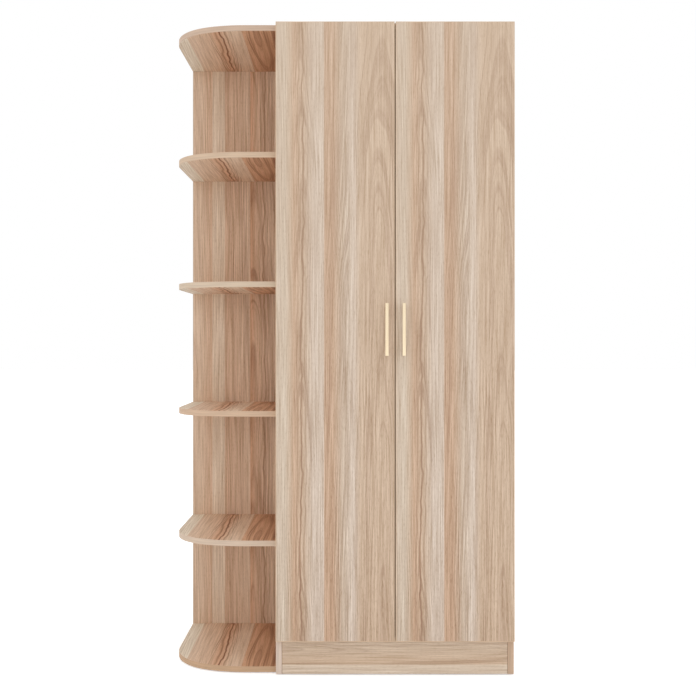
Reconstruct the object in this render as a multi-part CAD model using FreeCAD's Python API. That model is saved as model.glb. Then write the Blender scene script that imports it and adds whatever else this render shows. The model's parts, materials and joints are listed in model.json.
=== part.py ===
import FreeCAD, Part
import collections
import math
import os

os.makedirs("parts", exist_ok=True)

Vector = FreeCAD.Vector
RIGHT = Vector(1, 0, 0)
BACK = Vector(0, 1, 0)
UP = Vector(0, 0, 1)

# Driving sizes in millimetres: +X to the right, +Y to the wall, +Z up
wardrobe_height = 2000.0
cabinet_width = 730.0
corner_width = 330.0
carcass_depth = 500.0
board = 18.0
door_thickness = 18.0
kick_height = 100.0
hat_space_height = 314.0
shoe_shelf_underside = 420.0
corner_bays = 5
corner_shelf_setback = 18.0
handle_length = 160.0
handle_reach = 30.0
handle_height = 1060.0
hinges_per_door = 4

# Gaps and fits that several pieces share
door_gap = 2.0
door_reveal = 0.5
door_split = 3.0
edge_round = 0.8
hole_clearance = 0.1
glide_height = 3.0

# Planes of the frame: the origin is the middle of the floor area, handles included
left_end = -(corner_width + cabinet_width) / 2
cabinet_left = left_end + corner_width
cabinet_right = cabinet_left + cabinet_width
cabinet_middle = (cabinet_left + cabinet_right) / 2
inner_left = cabinet_left + board
inner_right = cabinet_right - board
wall_side = (carcass_depth + door_gap + door_thickness + handle_reach) / 2
carcass_front = wall_side - carcass_depth
door_back = carcass_front - door_gap
door_front = door_back - door_thickness
foot = glide_height
top = wardrobe_height

boards = {}
holes = collections.defaultdict(list)


def block(x_span, y_span, z_span):
    """Box between a low and a high plane on each axis."""
    corner = Vector(min(x_span), min(y_span), min(z_span))
    sizes = [max(span) - min(span) for span in (x_span, y_span, z_span)]
    return Part.makeBox(*sizes, corner)


def eased(shape):
    """The same shape with every edge slightly rounded."""
    return shape.makeFillet(edge_round, shape.Edges)


def rod(radius, start, direction, length):
    """Round rod from a start point along a direction."""
    return Part.makeCylinder(radius, length, start, direction)


def export(name, pieces):
    """Writes one node: a single solid or a group of separate solids."""
    shape = pieces[0] if len(pieces) == 1 else Part.makeCompound(pieces)
    shape.exportStep("parts/" + name + ".step")


def drill(name, cutters):
    """Remembers the holes of one board until all its fasteners are placed."""
    holes[name].extend(cutters)


def pan_screw(seat, direction, head_radius, head_height, shank_radius, length):
    """Screw whose head rests on the seat point and whose shank runs along the direction."""
    head = rod(head_radius, seat - direction * head_height, direction, head_height)
    shank = rod(shank_radius, seat, direction, length)
    return head.fuse(shank)


def pilot(seat, direction, shank_radius, length):
    """Hole for the shank of a screw."""
    return rod(shank_radius + hole_clearance, seat, direction, length + hole_clearance)


# Back sheets: two thin sheets in grooves of the side panels, joined by a strip
sheet_thickness = 4.0
sheet_inset = 20.0
groove_depth = 8.0
groove_clearance = 0.2
sheet_top_gap = 2.0
strip_web = 1.6
strip_flange = 22.0
strip_wall = 1.2
strip_end_gap = 2.0
sheet_rear = wall_side - sheet_inset
sheet_front = sheet_rear - sheet_thickness
sheet_z = (kick_height, top - sheet_top_gap)

sheet_in_groove = groove_depth - groove_clearance
sheet_from_middle = strip_web / 2 + groove_clearance
sheet_edges = {
    "back_sheet_left": (inner_left - sheet_in_groove, cabinet_middle - sheet_from_middle),
    "back_sheet_right": (cabinet_middle + sheet_from_middle, inner_right + sheet_in_groove),
}
for name, sheet_x in sheet_edges.items():
    boards[name] = block(sheet_x, (sheet_front, sheet_rear), sheet_z)

strip_z = (kick_height + board + strip_end_gap, top - board - strip_end_gap)
strip_x = (cabinet_middle - strip_flange / 2, cabinet_middle + strip_flange / 2)
web_x = (cabinet_middle - strip_web / 2, cabinet_middle + strip_web / 2)
groove_y = (sheet_front - groove_clearance, sheet_rear + groove_clearance)
strip = block(strip_x, (groove_y[0] - strip_wall, groove_y[1] + strip_wall), strip_z)
for slot_x in ((strip_x[0], web_x[0]), (web_x[1], strip_x[1])):
    strip = strip.cut(block(slot_x, groove_y, strip_z))
export("back_joint_strip", [strip])

# Cabinet boards: sides to the floor, top, bottom and two shelves between them
inner_x = (inner_left, inner_right)
shelf_setback = 20.0
shelf_back_gap = 2.5
kick_setback = 1.0
shelf_y = (carcass_front + shelf_setback, sheet_front - shelf_back_gap)
kick_y = (carcass_front + kick_setback, carcass_front + kick_setback + board)
rail_y = (sheet_front - board, sheet_front)
side_y = (carcass_front, wall_side)
panel_y = (carcass_front, sheet_front)
plinth_z = (foot, kick_height)
hat_shelf_top = top - board - hat_space_height
hat_shelf_underside = hat_shelf_top - board

boards["left_side_panel"] = eased(block((cabinet_left, inner_left), side_y, (foot, top)))
boards["right_side_panel"] = eased(block((inner_right, cabinet_right), side_y, (foot, top)))
boards["top_panel"] = eased(block(inner_x, panel_y, (top - board, top)))
boards["bottom_panel"] = eased(block(inner_x, panel_y, (kick_height, kick_height + board)))
boards["hat_shelf"] = eased(block(inner_x, shelf_y, (hat_shelf_underside, hat_shelf_top)))
boards["shoe_shelf"] = eased(block(inner_x, shelf_y, (shoe_shelf_underside, shoe_shelf_underside + board)))
boards["kick_board"] = eased(block(inner_x, kick_y, plinth_z))
boards["rear_plinth_rail"] = eased(block(inner_x, rail_y, plinth_z))

groove_z = (kick_height, top)
drill("left_side_panel", [block((inner_left - groove_depth, inner_left), groove_y, groove_z)])
drill("right_side_panel", [block((inner_right, inner_right + groove_depth), groove_y, groove_z)])

# Dowels: glued across the butt joints of the boards
dowel_radius = 4.0
dowel_in_side = 12.0
dowel_in_end = 18.0
dowels = []


def add_dowel(joint, direction, end_board, side_board):
    """Dowel through a joint point; the direction runs into the board that butts with its end."""
    start = joint - direction * dowel_in_side
    dowels.append(rod(dowel_radius, start, direction, dowel_in_side + dowel_in_end))
    hole_radius = dowel_radius + hole_clearance
    hole_start = start - direction * hole_clearance
    drill(side_board, [rod(hole_radius, hole_start, direction, dowel_in_side + hole_clearance)])
    drill(end_board, [rod(hole_radius, joint, direction, dowel_in_end + hole_clearance)])


# Cam locks: a turned cam under each board end pulls a bolt that stands in the side panel
cam_radius = 7.4
cam_height = 12.5
cam_from_end = 34.0
cam_from_edge = 50.0
cam_to_dowel = 32.0
bolt_thread_radius = 3.0
bolt_in_side = 11.0
bolt_shaft_radius = 2.5
bolt_head_radius = 3.5
bolt_head_length = 5.0
bolt_way_radius = 4.0
driver_slot = (9.0, 1.4, 1.5)
cam_locks = []
cam_bolts = []


def add_cam(joint, direction, underside, end_board, side_board):
    """Cam and bolt at a joint point; the direction runs into the board that butts with its end."""
    centre = joint + direction * cam_from_end
    seat = Vector(centre.x, centre.y, underside)
    cam = rod(cam_radius, seat, UP, cam_height)
    bolt_way = rod(bolt_way_radius, joint, direction, cam_from_end + bolt_head_length)
    long_half, wide_half = driver_slot[0] / 2, driver_slot[1] / 2
    slot_z = (underside, underside + driver_slot[2])
    for half_x, half_y in ((long_half, wide_half), (wide_half, long_half)):
        slot = block((seat.x - half_x, seat.x + half_x), (seat.y - half_y, seat.y + half_y), slot_z)
        cam = cam.cut(slot)
    cam_locks.append(cam.cut(bolt_way))
    thread = rod(bolt_thread_radius, joint - direction * bolt_in_side, direction, bolt_in_side)
    shaft = rod(bolt_shaft_radius, joint, direction, cam_from_end)
    head_start = centre - direction * (bolt_head_length / 2)
    head = rod(bolt_head_radius, head_start, direction, bolt_head_length)
    cam_bolts.append(thread.fuse([shaft, head]))
    drill(end_board, [rod(cam_radius + hole_clearance, seat, UP, cam_height + hole_clearance), bolt_way])
    bolt_hole_start = joint - direction * (bolt_in_side + hole_clearance)
    bolt_hole_radius = bolt_thread_radius + hole_clearance
    drill(side_board, [rod(bolt_hole_radius, bolt_hole_start, direction, bolt_in_side + hole_clearance)])


side_joints = (("left_side_panel", inner_left, RIGHT), ("right_side_panel", inner_right, -RIGHT))
for name in ("top_panel", "bottom_panel", "hat_shelf", "shoe_shelf"):
    box = boards[name].BoundBox
    for side_name, joint_x, inward in side_joints:
        for edge_y, step in ((box.YMin, 1), (box.YMax, -1)):
            cam_y = edge_y + step * cam_from_edge
            dowel_y = cam_y + step * cam_to_dowel
            joint_z = (box.ZMin + box.ZMax) / 2
            add_cam(Vector(joint_x, cam_y, joint_z), inward, box.ZMin, name, side_name)
            add_dowel(Vector(joint_x, dowel_y, joint_z), inward, name, side_name)

plinth_dowel_inset = 25.0
for name, plinth_y in (("kick_board", kick_y), ("rear_plinth_rail", rail_y)):
    for side_name, joint_x, inward in side_joints:
        for dowel_z in (foot + plinth_dowel_inset, kick_height - plinth_dowel_inset):
            add_dowel(Vector(joint_x, sum(plinth_y) / 2, dowel_z), inward, name, side_name)

# Screws that hold the back sheets to the rear edges of the top and bottom panels
sheet_screw = dict(head_radius=3.5, head_height=1.8, shank_radius=1.5)
sheet_screw_length = 20.0
sheet_screw_inset = 60.0
sheet_screws = []
for name, sheet_x in sheet_edges.items():
    for screw_x in (sheet_x[0] + sheet_screw_inset, sheet_x[1] - sheet_screw_inset):
        for panel in ("top_panel", "bottom_panel"):
            box = boards[panel].BoundBox
            seat = Vector(screw_x, sheet_rear, (box.ZMin + box.ZMax) / 2)
            sheet_screws.append(pan_screw(seat, -BACK, length=sheet_screw_length, **sheet_screw))
            cutter = pilot(seat, -BACK, sheet_screw["shank_radius"], sheet_screw_length)
            drill(name, [cutter])
            drill(panel, [cutter])
export("back_sheet_screws", sheet_screws)

# Corner unit: a full-height back board and six shelves with one large rounded corner
front_arc_radius = 310.0
side_arc_radius = 180.0
side_straight_from = 190.0
shelf_front = carcass_front + corner_shelf_setback
shelf_rear = wall_side - board
back_board_y = (shelf_rear, wall_side)
boards["corner_back_board"] = eased(block((left_end, cabinet_left), back_board_y, (foot, top)))

side_centre = Vector(left_end + side_arc_radius, shelf_front + side_straight_from, 0)
centre_rise = front_arc_radius - side_straight_from
centre_run = math.sqrt((front_arc_radius - side_arc_radius) ** 2 - centre_rise ** 2)
front_centre = side_centre + Vector(centre_run, centre_rise, 0)


def on_circle(centre, radius, degrees):
    """Point of a circle in the plan."""
    angle = math.radians(degrees)
    return centre + Vector(math.cos(angle), math.sin(angle), 0) * radius


def corner_shelf(underside):
    """Rounded shelf: two arcs that run into each other and into the straight edges."""
    toward = side_centre - front_centre
    meeting = math.degrees(math.atan2(toward.y, toward.x))
    side_arc = Part.Arc(
        on_circle(side_centre, side_arc_radius, 180),
        on_circle(side_centre, side_arc_radius, (180 + meeting % 360) / 2),
        on_circle(side_centre, side_arc_radius, meeting),
    )
    front_arc = Part.Arc(
        on_circle(front_centre, front_arc_radius, meeting),
        on_circle(front_centre, front_arc_radius, (270 + meeting % 360) / 2),
        on_circle(front_centre, front_arc_radius, 270),
    )
    front_end = on_circle(front_centre, front_arc_radius, 270)
    side_start = on_circle(side_centre, side_arc_radius, 180)
    front_right = Vector(cabinet_left, shelf_front, 0)
    rear_right = Vector(cabinet_left, shelf_rear, 0)
    rear_left = Vector(left_end, shelf_rear, 0)
    edges = [
        side_arc.toShape(),
        front_arc.toShape(),
        Part.makeLine(front_end, front_right),
        Part.makeLine(front_right, rear_right),
        Part.makeLine(rear_right, rear_left),
        Part.makeLine(rear_left, side_start),
    ]
    outline = Part.Face(Part.Wire(edges))
    outline.translate(UP * underside)
    shelf = outline.extrude(UP * board)
    level_edges = [edge for edge in shelf.Edges if edge.BoundBox.ZLength < edge_round]
    return shelf.makeFillet(edge_round, level_edges)


corner_bay_pitch = wardrobe_height / corner_bays
corner_shelves = {"corner_base_shelf": foot}
for number in range(1, corner_bays):
    corner_shelves["corner_shelf_%d" % number] = number * corner_bay_pitch - board / 2
corner_shelves["corner_top_shelf"] = top - board
for name, underside in corner_shelves.items():
    boards[name] = corner_shelf(underside)

# Connecting screws of the corner unit: countersunk head, plain neck, thinner thread
screw_head_radius = 5.0
screw_head_height = 3.0
screw_neck_radius = 3.5
screw_thread_radius = 2.6
screw_in_end = 30.0


def connecting_screw(seat, direction, clearance):
    """Screw from the outer face of a board into the end of the next, or the hole it needs."""
    neck_radius = screw_neck_radius + clearance
    head = Part.makeCone(screw_head_radius + clearance, neck_radius, screw_head_height, seat, direction)
    neck = rod(neck_radius, seat, direction, board)
    thread_length = board + screw_in_end + clearance
    thread = rod(screw_thread_radius + clearance, seat, direction, thread_length)
    return neck.fuse([head, thread])


def add_connecting_screw(seat, direction, through_board, end_board, group):
    """Places one connecting screw and drills both boards for it."""
    group.append(connecting_screw(seat, direction, 0))
    cutter = connecting_screw(seat, direction, hole_clearance)
    drill(through_board, [cutter])
    drill(end_board, [cutter])


corner_dowel_inset = 110.0
corner_screw_inset = 60.0
corner_back_screws = []
for name, underside in corner_shelves.items():
    middle_z = underside + board / 2
    for dowel_y in (shelf_front + corner_dowel_inset, shelf_rear - corner_dowel_inset):
        add_dowel(Vector(cabinet_left, dowel_y, middle_z), -RIGHT, name, "left_side_panel")
    for screw_x in (left_end + corner_screw_inset, cabinet_left - corner_screw_inset):
        seat = Vector(screw_x, wall_side, middle_z)
        add_connecting_screw(seat, -BACK, "corner_back_board", name, corner_back_screws)
export("corner_back_screws", corner_back_screws)

corner_side_screws = []
for bay in range(corner_bays):
    seat = Vector(inner_left, wall_side - board / 2, (bay + 0.5) * corner_bay_pitch)
    add_connecting_screw(seat, -RIGHT, "left_side_panel", "corner_back_board", corner_side_screws)
export("corner_side_screws", corner_side_screws)
export("wood_dowels", dowels)
export("cam_locks", cam_locks)
export("cam_bolts", cam_bolts)

# Hanging rail: oval steel tube held in a socket on each side panel
rail_tall = 30.0
rail_wide = 15.0
rail_wall = 1.2
rail_drop = 60.0
rail_end_gap = 0.3
socket_plate = 3.0
socket_collar = 14.0
socket_wall = 2.0
socket_clearance = 0.2
socket_plate_y = 30.0
socket_plate_z = 66.0
socket_screw_offset = 26.0
rail_screw = dict(head_radius=3.5, head_height=2.0, shank_radius=1.75)
rail_screw_length = 14.0
rail_middle_y = (carcass_front + sheet_front) / 2
rail_middle_z = hat_shelf_underside - rail_drop


def oval_bar(tall, wide, x_span):
    """Bar along X with flat flanks and a round top and bottom."""
    radius = wide / 2
    flat = tall / 2 - radius
    flank_y = (rail_middle_y - radius, rail_middle_y + radius)
    middle = block(x_span, flank_y, (rail_middle_z - flat, rail_middle_z + flat))
    length = max(x_span) - min(x_span)
    ends = []
    for end_z in (rail_middle_z - flat, rail_middle_z + flat):
        ends.append(rod(radius, Vector(min(x_span), rail_middle_y, end_z), RIGHT, length))
    return middle.fuse(ends).removeSplitter()


rail_x = (inner_left + socket_plate + rail_end_gap, inner_right - socket_plate - rail_end_gap)
rail_bore = oval_bar(rail_tall - 2 * rail_wall, rail_wide - 2 * rail_wall, rail_x)
export("hanging_rail", [oval_bar(rail_tall, rail_wide, rail_x).cut(rail_bore)])

rail_sockets = []
rail_screws = []
for side_name, joint_x, inward in side_joints:
    collar_x = (joint_x, joint_x + inward.x * (socket_plate + socket_collar))
    plate_x = (joint_x, joint_x + inward.x * socket_plate)
    plate_y = (rail_middle_y - socket_plate_y / 2, rail_middle_y + socket_plate_y / 2)
    plate_z = (rail_middle_z - socket_plate_z / 2, rail_middle_z + socket_plate_z / 2)
    room = 2 * socket_clearance
    grow = room + 2 * socket_wall
    socket = eased(block(plate_x, plate_y, plate_z))
    socket = socket.fuse(oval_bar(rail_tall + grow, rail_wide + grow, collar_x))
    pocket_x = (joint_x + inward.x * socket_plate, collar_x[1])
    socket = socket.cut(oval_bar(rail_tall + room, rail_wide + room, pocket_x))
    for offset in (-socket_screw_offset, socket_screw_offset):
        seat = Vector(plate_x[1], rail_middle_y, rail_middle_z + offset)
        rail_screws.append(pan_screw(seat, -inward, length=rail_screw_length, **rail_screw))
        cutter = pilot(seat, -inward, rail_screw["shank_radius"], rail_screw_length)
        socket = socket.cut(cutter)
        drill(side_name, [cutter])
    rail_sockets.append(socket)
export("rail_sockets", rail_sockets)
export("rail_socket_screws", rail_screws)

# Anti-tip brackets: steel angles under the top panel with a hole for a wall screw
bracket_leg = 32.0
bracket_wide = 30.0
bracket_wall = 2.0
bracket_from_middle = 200.0
bracket_hole_from_corner = 19.0
wall_hole_radius = 2.75
bracket_screw = dict(head_radius=3.5, head_height=2.0, shank_radius=1.75)
bracket_screw_length = 14.0
brackets = []
bracket_screws = []
bracket_top = top - board
for name, bracket_x in (
    ("back_sheet_left", cabinet_middle - bracket_from_middle),
    ("back_sheet_right", cabinet_middle + bracket_from_middle),
):
    span_x = (bracket_x - bracket_wide / 2, bracket_x + bracket_wide / 2)
    wall_leg_front = sheet_front - bracket_wall
    level_leg_underside = bracket_top - bracket_wall
    level_leg = block(span_x, (sheet_front - bracket_leg, sheet_front), (level_leg_underside, bracket_top))
    wall_leg = block(span_x, (wall_leg_front, sheet_front), (bracket_top - bracket_leg, bracket_top))
    seat = Vector(bracket_x, sheet_front - bracket_hole_from_corner, level_leg_underside)
    screw_hole = pilot(seat, UP, bracket_screw["shank_radius"], bracket_screw_length)
    wall_hole_start = Vector(bracket_x, wall_leg_front, bracket_top - bracket_hole_from_corner)
    wall_hole = rod(wall_hole_radius, wall_hole_start, BACK, bracket_wall + sheet_thickness)
    brackets.append(level_leg.fuse(wall_leg).removeSplitter().cut([screw_hole, wall_hole]))
    bracket_screws.append(pan_screw(seat, UP, length=bracket_screw_length, **bracket_screw))
    drill("top_panel", [screw_hole])
    drill(name, [wall_hole])
export("anti_tip_brackets", brackets)
export("anti_tip_screws", bracket_screws)

# Floor glides: plastic discs with a nail, under the side panels and the corner base
glide_radius = 8.0
glide_nail_radius = 1.2
glide_nail_length = 12.0
glide_inset = 40.0
corner_glide_inset = 80.0
glides = []
glide_places = [
    ("left_side_panel", (cabinet_left + inner_left) / 2, carcass_front + glide_inset),
    ("left_side_panel", (cabinet_left + inner_left) / 2, wall_side - glide_inset),
    ("right_side_panel", (cabinet_right + inner_right) / 2, carcass_front + glide_inset),
    ("right_side_panel", (cabinet_right + inner_right) / 2, wall_side - glide_inset),
    ("corner_base_shelf", left_end + glide_inset, shelf_rear - glide_inset),
    ("corner_base_shelf", side_centre.x, shelf_front + corner_glide_inset),
]
for name, glide_x, glide_y in glide_places:
    disc = rod(glide_radius, Vector(glide_x, glide_y, 0), UP, glide_height)
    nail_start = Vector(glide_x, glide_y, glide_height)
    glides.append(disc.fuse(rod(glide_nail_radius, nail_start, UP, glide_nail_length)))
    drill(name, [pilot(nail_start, UP, glide_nail_radius, glide_nail_length)])
export("floor_glides", glides)

# Doors: full overlay, flush with the outer faces of the side panels
door_foot_gap = 8.0
door_head_gap = 1.0
door_z = (kick_height + door_foot_gap, top - door_head_gap)
door_y = (door_front, door_back)
sides = {
    "left": dict(panel="left_side_panel", inner_face=inner_left, inward=1),
    "right": dict(panel="right_side_panel", inner_face=inner_right, inward=-1),
}
left_door_x = (cabinet_left + door_reveal, cabinet_middle - door_split / 2)
right_door_x = (cabinet_middle + door_split / 2, cabinet_right - door_reveal)
boards["left_door"] = eased(block(left_door_x, door_y, door_z))
boards["right_door"] = eased(block(right_door_x, door_y, door_z))

# Cup hinges: plan places are given from the front inner corner of the side panel,
# first into the cabinet and then toward the wall
cup_from_edge = 22.5
cup_radius = 17.5
cup_wall = 1.0
cup_depth = 13.1
cup_floor = 0.8
ear_thickness = 1.0
ear_radius = 7.0
ear_screw_spacing = 45.0
ear_screw_offset = 9.5
ear_window = 9.0
hinge_inset = 100.0
pin_radius = 1.0
pin_clearance = 0.09
eye_radius = 2.6
link_half_width = 1.6
link_layer = (0.5, 6.5)
open_eye_bore = 3.2
open_eye_radius = 4.3
cheek_layer = (6.8, 9.0)
inner_arm_pivot = (30.75, 2.4)
outer_arm_pivot = (35.07, 8.0)
arm_flank = (6.5, 13.5)
arm_v = (14.0, 62.0)
arm_head_depth = 6.0
arm_head_margin = 3.4
plate_v = (24.0, 58.0)
plate_half_height = 24.0
plate_block_half = 9.0
plate_wing = 3.0
plate_screw_v = 37.0
plate_screw_spacing = 32.0
arm_screw_v = 50.0
plate_screw = dict(head_radius=4.0, head_height=2.5, shank_radius=2.5)
plate_screw_length = 14.0
arm_screw = dict(head_radius=3.5, head_height=2.0, shank_radius=2.0)
arm_screw_length = 11.0
cup_screw = dict(head_radius=3.4, head_height=0.6, shank_radius=1.5)
cup_screw_length = 12.0

# Places in the cup, given from the middle of its mouth
inner_pin_in_cup = (-6.49, -1.97)
outer_pin_in_cup = (-7.96, -7.78)
open_eye_in_cup = (-9.89, -7.58)
link_knee_in_cup = (1.0, -5.2)
cup_in = door_reveal - board + cup_from_edge


def from_cup_mouth(place):
    """Plan place of a point that is given from the mouth of the cup."""
    return (cup_in + place[0], place[1] - door_gap)


inner_cup_pivot = from_cup_mouth(inner_pin_in_cup)
outer_cup_pivot = from_cup_mouth(outer_pin_in_cup)
outer_open_eye = from_cup_mouth(open_eye_in_cup)
outer_link_knee = from_cup_mouth(link_knee_in_cup)


def hinge_point(side, place, z):
    """Point in the frame for a plan place of one side's hinges."""
    return Vector(side["inner_face"] + side["inward"] * place[0], carcass_front + place[1], z)


def hinge_block(side, in_span, v_span, z_span):
    """Block in the plan places of one side's hinges."""
    low = hinge_point(side, (in_span[0], v_span[0]), z_span[0])
    high = hinge_point(side, (in_span[1], v_span[1]), z_span[1])
    return block((low.x, high.x), (low.y, high.y), (low.z, high.z))


def hinge_rod(side, place, radius, z_span):
    """Upright rod at a plan place."""
    start = hinge_point(side, place, min(z_span))
    return rod(radius, start, UP, max(z_span) - min(z_span))


def link_bar(side, places, end_radius, z_span):
    """Flat link along its places, with a small eye at the first and a given one at the last."""
    height = max(z_span) - min(z_span)
    pieces = [
        hinge_rod(side, places[0], eye_radius, z_span),
        hinge_rod(side, places[-1], end_radius, z_span),
    ]
    for place, next_place in zip(places, places[1:]):
        start = hinge_point(side, place, min(z_span))
        run = hinge_point(side, next_place, min(z_span)) - start
        bar = Part.makeBox(run.Length, 2 * link_half_width, height, Vector(0, -link_half_width, 0))
        bar.rotate(Vector(0, 0, 0), UP, math.degrees(math.atan2(run.y, run.x)))
        bar.translate(start)
        pieces.append(bar)
        pieces.append(hinge_rod(side, next_place, link_half_width, z_span))
    return pieces[0].fuse(pieces[1:]).removeSplitter()


def layer(span, z, direction):
    """Height span of one layer above or below the middle of a hinge."""
    return (z + direction * span[0], z + direction * span[1])


def hinge_cup(side, z):
    """Cup let into the door, with two ears on the face of the door."""
    mouth = hinge_point(side, (cup_in, -door_gap), z)
    shell = rod(cup_radius, mouth, -BACK, cup_depth)
    ear_x = mouth.x + side["inward"] * ear_screw_offset
    ear_y = (mouth.y, mouth.y + ear_thickness)
    ear_z = (z - ear_screw_spacing / 2, z + ear_screw_spacing / 2)
    ears = block((ear_x - ear_radius, ear_x + ear_radius), ear_y, ear_z)
    ends = [rod(ear_radius, Vector(ear_x, mouth.y, end_z), BACK, ear_thickness) for end_z in ear_z]
    rim = rod(cup_radius + ear_thickness, mouth, BACK, ear_thickness)
    window_x = (mouth.x - 2 * cup_radius, mouth.x + 2 * cup_radius)
    window = block(window_x, ear_y, (z - ear_window, z + ear_window))
    flange = ears.fuse(ends + [rim]).cut(window)
    bore_start = mouth + BACK * ear_thickness
    bore = rod(cup_radius - cup_wall, bore_start, -BACK, ear_thickness + cup_depth - cup_floor)
    return shell.fuse(flange).cut(bore)


def cup_pin(side, place, z, direction):
    """Pin from the wall of the cup to the middle of the hinge."""
    inside = cup_radius - cup_wall
    reach = math.sqrt(inside ** 2 - (abs(place[0] - cup_in) + pin_radius) ** 2)
    return hinge_rod(side, place, pin_radius, layer((link_layer[0], reach), z, direction))


def hinge_arm(side, z):
    """Cranked arm with one cheek for each arm pin."""
    reach = outer_arm_pivot[0] + arm_head_margin
    arm_z = (z - cheek_layer[1], z + cheek_layer[1])
    arm = hinge_block(side, arm_flank, arm_v, arm_z)
    head_v = (arm_v[0], arm_v[0] + arm_head_depth)
    head = hinge_block(side, (arm_flank[0], reach), head_v, arm_z)
    cheeks = []
    for pivot, direction in ((inner_arm_pivot, -1), (outer_arm_pivot, 1)):
        cheek_in = (pivot[0] - arm_head_margin, reach)
        cheek_v = (pivot[1] - arm_head_margin, head_v[1])
        cheeks.append(hinge_block(side, cheek_in, cheek_v, layer(cheek_layer, z, direction)))
    return arm.fuse([head] + cheeks).removeSplitter()


door_hinge_z = []
for index in range(hinges_per_door):
    share = index / (hinges_per_door - 1)
    door_hinge_z.append(door_z[0] + hinge_inset + share * (door_z[1] - door_z[0] - 2 * hinge_inset))

for side_name, side in sides.items():
    door_name = side_name + "_door"
    inward = RIGHT * side["inward"]
    group = collections.defaultdict(list)
    for z in door_hinge_z:
        cup = hinge_cup(side, z)
        cup_seat = hinge_point(side, (cup_in, -door_gap), z)
        drill(door_name, [rod(cup_radius + hole_clearance, cup_seat, -BACK, cup_depth + hole_clearance)])
        for offset in (-ear_screw_spacing / 2, ear_screw_spacing / 2):
            seat = hinge_point(side, (cup_in + ear_screw_offset, ear_thickness - door_gap), z + offset)
            cutter = pilot(seat, -BACK, cup_screw["shank_radius"], cup_screw_length)
            cup = cup.cut(cutter)
            drill(door_name, [cutter])
            group["cup_screws"].append(pan_screw(seat, -BACK, length=cup_screw_length, **cup_screw))
        group["hinge_cups"].append(cup)
        group["cup_pins"].append(cup_pin(side, inner_cup_pivot, z, -1))
        group["cup_pins"].append(cup_pin(side, outer_cup_pivot, z, 1))

        lower = layer(link_layer, z, -1)
        upper = layer(link_layer, z, 1)
        pin_bore = pin_radius + pin_clearance
        inner_places = (inner_arm_pivot, inner_cup_pivot)
        inner_link = link_bar(side, inner_places, eye_radius, lower)
        inner_bores = [hinge_rod(side, place, pin_bore, lower) for place in inner_places]
        group["inner_links"].append(inner_link.cut(inner_bores))
        outer_places = (outer_arm_pivot, outer_link_knee, outer_open_eye)
        outer_link = link_bar(side, outer_places, open_eye_radius, upper)
        outer_bores = [
            hinge_rod(side, outer_arm_pivot, pin_bore, upper),
            hinge_rod(side, outer_open_eye, open_eye_bore, upper),
        ]
        group["outer_links"].append(outer_link.cut(outer_bores))

        arm = hinge_arm(side, z)
        for pivot, direction in ((inner_arm_pivot, -1), (outer_arm_pivot, 1)):
            pin = hinge_rod(side, pivot, pin_radius, layer((link_layer[0], cheek_layer[1]), z, direction))
            arm = arm.cut(pin)
            group["arm_pins"].append(pin)
        wing_z = (z - plate_half_height, z + plate_half_height)
        riser_z = (z - plate_block_half, z + plate_block_half)
        wings = hinge_block(side, (0, plate_wing), plate_v, wing_z)
        riser = hinge_block(side, (0, arm_flank[0]), plate_v, riser_z)
        plate = wings.fuse(riser).removeSplitter()
        for offset in (-plate_screw_spacing / 2, plate_screw_spacing / 2):
            seat = hinge_point(side, (plate_wing, plate_screw_v), z + offset)
            cutter = pilot(seat, -inward, plate_screw["shank_radius"], plate_screw_length)
            plate = plate.cut(cutter)
            drill(side["panel"], [cutter])
            screw = pan_screw(seat, -inward, length=plate_screw_length, **plate_screw)
            group["hinge_plate_screws"].append(screw)
        seat = hinge_point(side, (arm_flank[1], arm_screw_v), z)
        cutter = pilot(seat, -inward, arm_screw["shank_radius"], arm_screw_length)
        group["hinge_plates"].append(plate.cut(cutter))
        group["hinge_arms"].append(arm.cut(cutter))
        group["hinge_arm_screws"].append(pan_screw(seat, -inward, length=arm_screw_length, **arm_screw))
    for group_name, pieces in group.items():
        export(side_name + "_" + group_name, pieces)

# Bar handles near the meeting edges, each held by two screws from inside the door
handle_width = 10.0
handle_bar_depth = 8.0
handle_post_radius = 4.0
handle_post_spacing = 128.0
handle_from_split = 26.0
handle_screw = dict(head_radius=4.5, head_height=2.4, shank_radius=2.0)
handle_screw_in_post = 12.0
handle_screw_length = door_thickness + handle_screw_in_post
for side_name, side in sides.items():
    handle_x = cabinet_middle - side["inward"] * handle_from_split
    bar_y = (door_front - handle_reach, door_front - handle_reach + handle_bar_depth)
    bar_x = (handle_x - handle_width / 2, handle_x + handle_width / 2)
    bar_z = (handle_height - handle_length / 2, handle_height + handle_length / 2)
    handle = eased(block(bar_x, bar_y, bar_z))
    screws = []
    cutters = []
    for offset in (-handle_post_spacing / 2, handle_post_spacing / 2):
        post_start = Vector(handle_x, bar_y[1] - edge_round, handle_height + offset)
        handle = handle.fuse(rod(handle_post_radius, post_start, BACK, door_front - post_start.y))
        seat = Vector(handle_x, door_back, handle_height + offset)
        screws.append(pan_screw(seat, -BACK, length=handle_screw_length, **handle_screw))
        cutters.append(pilot(seat, -BACK, handle_screw["shank_radius"], handle_screw_length))
    drill(side_name + "_door", cutters)
    export(side_name + "_handle", [handle.cut(cutters)])
    export(side_name + "_handle_screws", screws)

# Clear bumpers behind the meeting edge of each door, against the top and bottom panels
bumper_radius = 4.0
bumper_height = 1.7
bumper_from_split = 40.0
for side_name, side in sides.items():
    bumper_x = cabinet_middle - side["inward"] * bumper_from_split
    low_z = (door_z[0] + kick_height + board) / 2
    bumpers = []
    for bumper_z in (low_z, top - board / 2):
        bumpers.append(rod(bumper_radius, Vector(bumper_x, door_back, bumper_z), BACK, bumper_height))
    export(side_name + "_door_bumpers", bumpers)

# Boards last, with all their holes
for name, solid in boards.items():
    export(name, [solid.cut(holes[name]) if holes[name] else solid])
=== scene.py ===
import json
import math

import bmesh
import bpy
from mathutils import Matrix, Vector

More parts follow.
